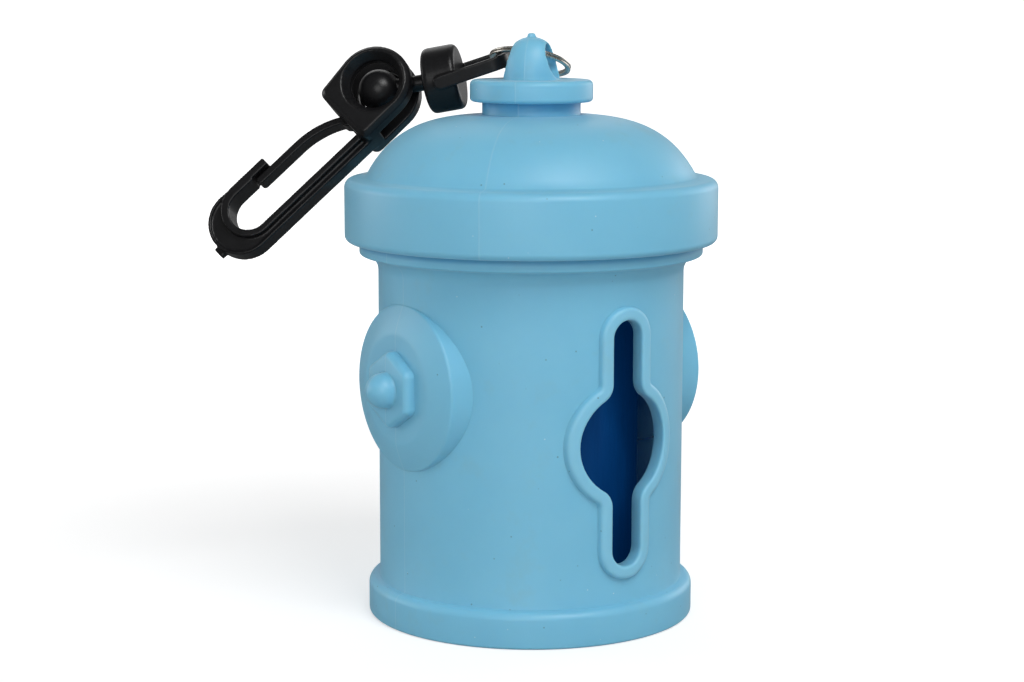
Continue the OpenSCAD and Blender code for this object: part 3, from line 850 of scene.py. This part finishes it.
lid = {
    "azimuth": -51.4,  # of its tunnel, which the ring goes through
    "skirtZ": 55.35,
    "skirtIn": 25.4,
    "skirtRadius": 27.39,
    "skirtLowerEdge": 1,
    "skirtUpperEdge": 1.3,
    "chamfer": 0.62,  # inside the skirt's lower edge
    "seat": 62.9,  # where it rests on the collar
    "shoulder": 64.9,
    "wall": 2,
    "domeRadius": 24.25,
    "domeHeight": 9,
    "domeSpread": 1.13,  # the dome's curve would reach this share of its radius
    "neckRadius": 7.2,
    "neckHeight": 1.8,
    "plateRadius": 9,
    "plate": 3.2,
    "plateUpperEdge": 0.75,
    "plateLowerEdge": 0.6,
}


def domeCurve(inset, outer, inner, steps=24):
    # the dome's side bulges: its height goes with the fourth power of the radius
    def rise(share):
        return sqrt(1 - share ** 4)

    d = lid
    wide = d["domeRadius"] * d["domeSpread"]
    tall = d["domeHeight"] / (1 - rise(1 / d["domeSpread"]))
    base = d["shoulder"] - tall * rise(1 / d["domeSpread"])
    radii = [outer + (inner - outer) * i / steps for i in range(steps + 1)]
    return [(r, base + (tall - inset) * rise(min(1, r / (wide - inset)))) for r in radii]


def makeLid():
    d = lid
    side, skirtIn, skirtZ, wall = d["skirtRadius"], d["skirtIn"], d["skirtZ"], d["wall"]
    skirtLower, skirtUpper = d["skirtLowerEdge"], d["skirtUpperEdge"]
    plateLower, plateUpper = d["plateLowerEdge"], d["plateUpperEdge"]
    neck, plate = d["neckRadius"], d["plateRadius"]
    plateZ = d["shoulder"] + d["domeHeight"] + d["neckHeight"]
    plateTop = plateZ + d["plate"]
    outline = [(0, plateTop), (plate - 3, plateTop)]  # down the outside first
    outline += arcPoints((plate - plateUpper, plateTop - plateUpper), plateUpper, 90, 0, 6)
    outline += arcPoints((plate - plateLower, plateZ + plateLower), plateLower, 0, -90, 6)
    outline += [(neck + 0.12, plateZ), (neck + 0.03, plateZ - 0.03), (neck, plateZ - 0.12)]
    dome = domeCurve(0, d["domeRadius"], neck + 0.15)[::-1]
    outline += [(neck, dome[0][1] + 0.15), (neck + 0.04, dome[0][1] + 0.04)] + dome[:-1]
    # a soft step from the dome to the shoulder
    last = dome[-1]
    outline += [(last[0] - 0.05, last[1] + 0.1), (last[0] + 0.25, last[1] - 0.1)]
    outline += arcPoints((side - skirtUpper, d["shoulder"] - 0.25 - skirtUpper), skirtUpper, 80, 0, 8)
    outline += arcPoints((side - skirtLower, skirtZ + skirtLower), skirtLower, 0, -90, 8)
    outline += [(skirtIn + d["chamfer"], skirtZ), (skirtIn + d["chamfer"] - 0.07, skirtZ + 0.08),
                (skirtIn, skirtZ + 1), (skirtIn, d["seat"])]
    # then up the inside
    inner = [p for p in domeCurve(wall, d["domeRadius"] - wall, neck - wall, 16) if p[1] > d["seat"] + 0.05]
    outline += [(inner[0][0] + 0.3, d["seat"])] + inner
    outline += [(neck - wall, plateTop - wall), (0, plateTop - wall)]
    return turned("bonnetLid", outline)


bell = {
    "radius": 4.1,
    "height": 6.15,
    "base": 78.9,
    "fullness": 2.5,  # higher values keep the side upright for longer
    "crown": 0.45,  # lower values flatten the crown
    "nub": 0.57,  # radius and height of the moulding nub
    "tunnelWidth": 4.6,
    "tunnelHeight": 5.1,
    "tunnelZ": 81.6,
    "softening": (0.12, 5),  # voxel in mm and rounds
}


def makeBell():
    b = bell
    base, nub = b["base"], b["nub"]
    top, wide = base + b["height"], b["radius"] + 0.05
    outline = [(0, base - 0.6), (wide, base - 0.6), (wide, base)]
    for i in range(1, 24):
        share = sin(radians(90 * i / 24))
        out = b["radius"] * (1 - share ** b["fullness"]) ** b["crown"]
        if out > nub + 0.15:
            outline.append((out, base + b["height"] * share))
    outline += [(nub + 0.06, top + 0.05), (nub, top + nub - 0.19), (nub * 0.7, top + nub - 0.04),
                (0, top + nub)]
    piece = turned("bonnetBell", outline, steps=96)
    w, h = b["tunnelWidth"] / 2, b["tunnelHeight"] / 2
    mouth = [(x, z + h - w) for x, z in arcPoints((0, 0), w, 0, 180, 20)]
    mouth += [(x, z - h + w) for x, z in arcPoints((0, 0), w, 180, 360, 20)]
    turn = Matrix.Rotation(radians(lid["azimuth"]), 3, "Z")
    loops = [[tuple(turn @ Vector((along, x, z + b["tunnelZ"]))) for x, z in mouth] for along in (-6, 6)]
    cutAway(piece, loopsBridged("tunnelCutter", loops, closeEnds=True))
    softened(piece, *b["softening"])
    return piece


lidPiece = makeLid()
smoothShade(lidPiece, 50)
finishPiece(lidPiece, "lid", lidVinyl, "blue_shell", "bonnet_lid")
finishPiece(makeBell(), "lid", lidVinyl, "blue_shell")
print("lid ready")


roll = {
    "radius": 16,
    "core": 6.55,
    "bottom": 2.5,
    "height": 60.5,
    "edge": 0.4,
    "waves": 0.22,  # height of the faint waves of its surface
    "waveLength": 6,
}


def makeRoll():
    # wound film: soft ends, a surface with faint waves
    w, core, edge, low = roll, roll["core"], roll["edge"], roll["bottom"]
    r, high = w["radius"] - 0.12, low + w["height"]
    outline = [(core, low), (r - edge - 0.1, low)] + arcPoints((r - edge, low + edge), edge, -80, 0, 4)
    outline += [(r, low + w["height"] * i / 24) for i in range(1, 24)]
    outline += arcPoints((r - edge, high - edge), edge, 0, 80, 4) + [(r - edge - 0.1, high), (core, high)]
    outline += [(core, low)]
    piece = turned("filmRoll", outline, steps=144)
    wrinkles = bpy.data.textures.new("filmWrinkles", "CLOUDS")
    wrinkles.noise_scale = mm(w["waveLength"])
    applyModifier(piece, "DISPLACE", texture=wrinkles, texture_coords="LOCAL", strength=mm(w["waves"]),
                  mid_level=0.5)
    smoothShade(piece, 40)
    return piece


finishPiece(makeRoll(), "roll", bagFilm, "film", "bag_roll")
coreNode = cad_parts["roll_core"]
coreNode.data.materials.clear()
coreNode.data.materials.append(coreBoard)
print("roll ready")


splitRing = {
    "outside": 12.2,
    "wireWide": 0.75,
    "wireThick": 0.38,
    "wireRound": 0.6,  # 1 would be an ellipse, 0 a rectangle
    "gap": 0.04,
    "turns": 1.96,
    "start": 200,  # degrees
    "middle": (2.7074, 4.0535, 81.3062),
    "tilt": 21,  # degrees that the plane drops behind the bell
    "roll": 5,
    "steps": 220,  # per turn
}


def makeRing():
    # a flattened, round-edged section is swept twice round as a helix
    s = splitRing
    halfWide, halfThick = s["wireWide"] / 2, s["wireThick"] / 2
    mid, pitch = s["outside"] / 2 - halfWide, s["wireThick"] + s["gap"]

    def swollen(value):
        return (1 if value > 0 else -1) * abs(value) ** s["wireRound"]

    section = [(halfWide * swollen(cos(pi * i / 8)), halfThick * swollen(sin(pi * i / 8))) for i in range(16)]
    bpy.ops.object.select_all(action="DESELECT")
    bpy.ops.mesh.primitive_circle_add(vertices=len(section), radius=mm(halfWide))
    piece = bpy.context.object
    piece.name = "splitRing"
    for vertex, (out, up) in zip(piece.data.vertices, section):
        vertex.co = mm(mid + out, 0, up - pitch * s["turns"] / 2)
    applyModifier(piece, "SCREW", axis="Z", angle=2 * pi * s["turns"], screw_offset=mm(pitch * s["turns"]),
                  steps=s["steps"], render_steps=s["steps"], use_normal_calculate=True)
    bpy.ops.object.mode_set(mode="EDIT")
    bpy.ops.mesh.select_all(action="DESELECT")
    bpy.ops.mesh.select_mode(type="EDGE")
    bpy.ops.mesh.select_non_manifold(extend=False)
    bpy.ops.mesh.edge_face_add()
    bpy.ops.mesh.select_all(action="SELECT")
    bpy.ops.mesh.normals_make_consistent(inside=False)
    bpy.ops.object.mode_set(mode="OBJECT")
    piece.data.transform(
        Matrix.Translation(mm(*s["middle"]))
        @ Matrix.Rotation(radians(lid["azimuth"]), 4, "Z")
        @ Matrix.Rotation(radians(s["roll"]), 4, "Y")
        @ Matrix.Rotation(radians(-s["tilt"]), 4, "X")
        @ Matrix.Rotation(radians(s["start"]), 4, "Z"))
    smoothShade(piece, 45)
    return piece


finishPiece(makeRing(), "ring", springSteel, "ring_steel", "split_ring")
print("ring ready")


hook = {
    # its own frame: the ball's middle, along the hook, towards the spine and out of its front
    "middle": (-12.749, 21.1, 76.822),
    "along": (-0.6586, 0.3235, -0.6794),
    "across": (0.2887, -0.7252, -0.6251),
    "out": (-0.6949, -0.6079, 0.3842),
    "lip": 3.25,  # radius of the hole where a lip holds the ball at the back
    "lipDepth": (-3.6, -4.2),
    "web": [(23, -4.2), (24.4, -4.35), (26, -4.44), (28.5, -4.54), (28.5, -3), (23, -3)],
    "webThick": 3.2,
    "ribStart": [(23.6, -3.4), (23.6, -4.28)],
    "ribThick": 4.2,
    "nose": (26.4, 0.35),  # middle of the bend, from (along, across)
    "noseOuter": (4.64, 4.25),  # radius of the rib at the start and the end of the join
    "noseInner": 3.7,
    "softening": (0.15, 7),
}


def atHook(piece):
    # from the hook's own frame to the shared one
    axes = Matrix((hook["along"], hook["across"], hook["out"])).transposed().to_4x4()
    piece.data.transform(Matrix.Translation(mm(*hook["middle"])) @ axes)
    return piece


def slab(name, points, thick):
    # a flat piece in the plane of the hook, from (along, across)
    loops = [[(x, y, z) for x, y in points] for z in (-thick / 2, thick / 2)]
    return atHook(loopsBridged(name, loops, closeEnds=True))


def joined(piece, *others):
    bpy.ops.object.select_all(action="DESELECT")
    for each in (*others, piece):
        each.select_set(True)
    bpy.context.view_layer.objects.active = piece
    bpy.ops.object.join()


eye = {
    "ball": 3.15,  # radius
    "softening": (0.12, 7),
}


def makeEye():
    piece = mouldedCopy("swivel_eye", "swivelEye")
    bpy.ops.object.select_all(action="DESELECT")
    bpy.ops.mesh.primitive_ico_sphere_add(subdivisions=5, radius=mm(eye["ball"]), location=(0, 0, 0))
    joined(piece, atHook(bpy.context.object))
    softened(piece, *eye["softening"])
    return piece


def makeHook():
    piece = mouldedCopy("snap_hook", "snapHook")
    lip = hook["lip"]
    front, back = hook["lipDepth"]
    lipOutline = [(lip + 0.2, front), (lip + 1.5, front + 0.15), (5, front), (5, back), (lip + 0.3, back),
                  (lip, back + 0.3), (lip + 0.2, front)]
    # the web and the rib run on from the nose without a step
    first, last = hook["noseOuter"]
    inside, outside = hook["ribStart"]
    ribOutline = [outside]
    for i in range(9):
        ribOutline.append(arcPoints(hook["nose"], first + (last - first) * i / 8, -90 + 10 * i, 0)[0])
    ribOutline += arcPoints(hook["nose"], hook["noseInner"], -10, -90, 8) + [inside]
    joined(piece, atHook(turned("cageLip", lipOutline, steps=96)),
           slab("webJoin", hook["web"], hook["webThick"]), slab("ribJoin", ribOutline, hook["ribThick"]))
    softened(piece, *hook["softening"])
    return piece


gate = {
    "softening": (0.1, 6),
}


def makeGate():
    piece = mouldedCopy("hook_gate", "hookGate")
    softened(piece, *gate["softening"])
    return piece


finishPiece(makeEye(), "eye", blackAcetal, "black_plastic", "swivel_eye")
finishPiece(makeHook(), "hook", blackAcetal, "black_plastic", "snap_hook")
finishPiece(makeGate(), "gate", blackAcetal, "black_plastic", "hook_gate")
print("hook ready")

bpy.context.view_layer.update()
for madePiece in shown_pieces():
    if madePiece.type == "MESH":
        print(madePiece.name, len(madePiece.data.polygons))
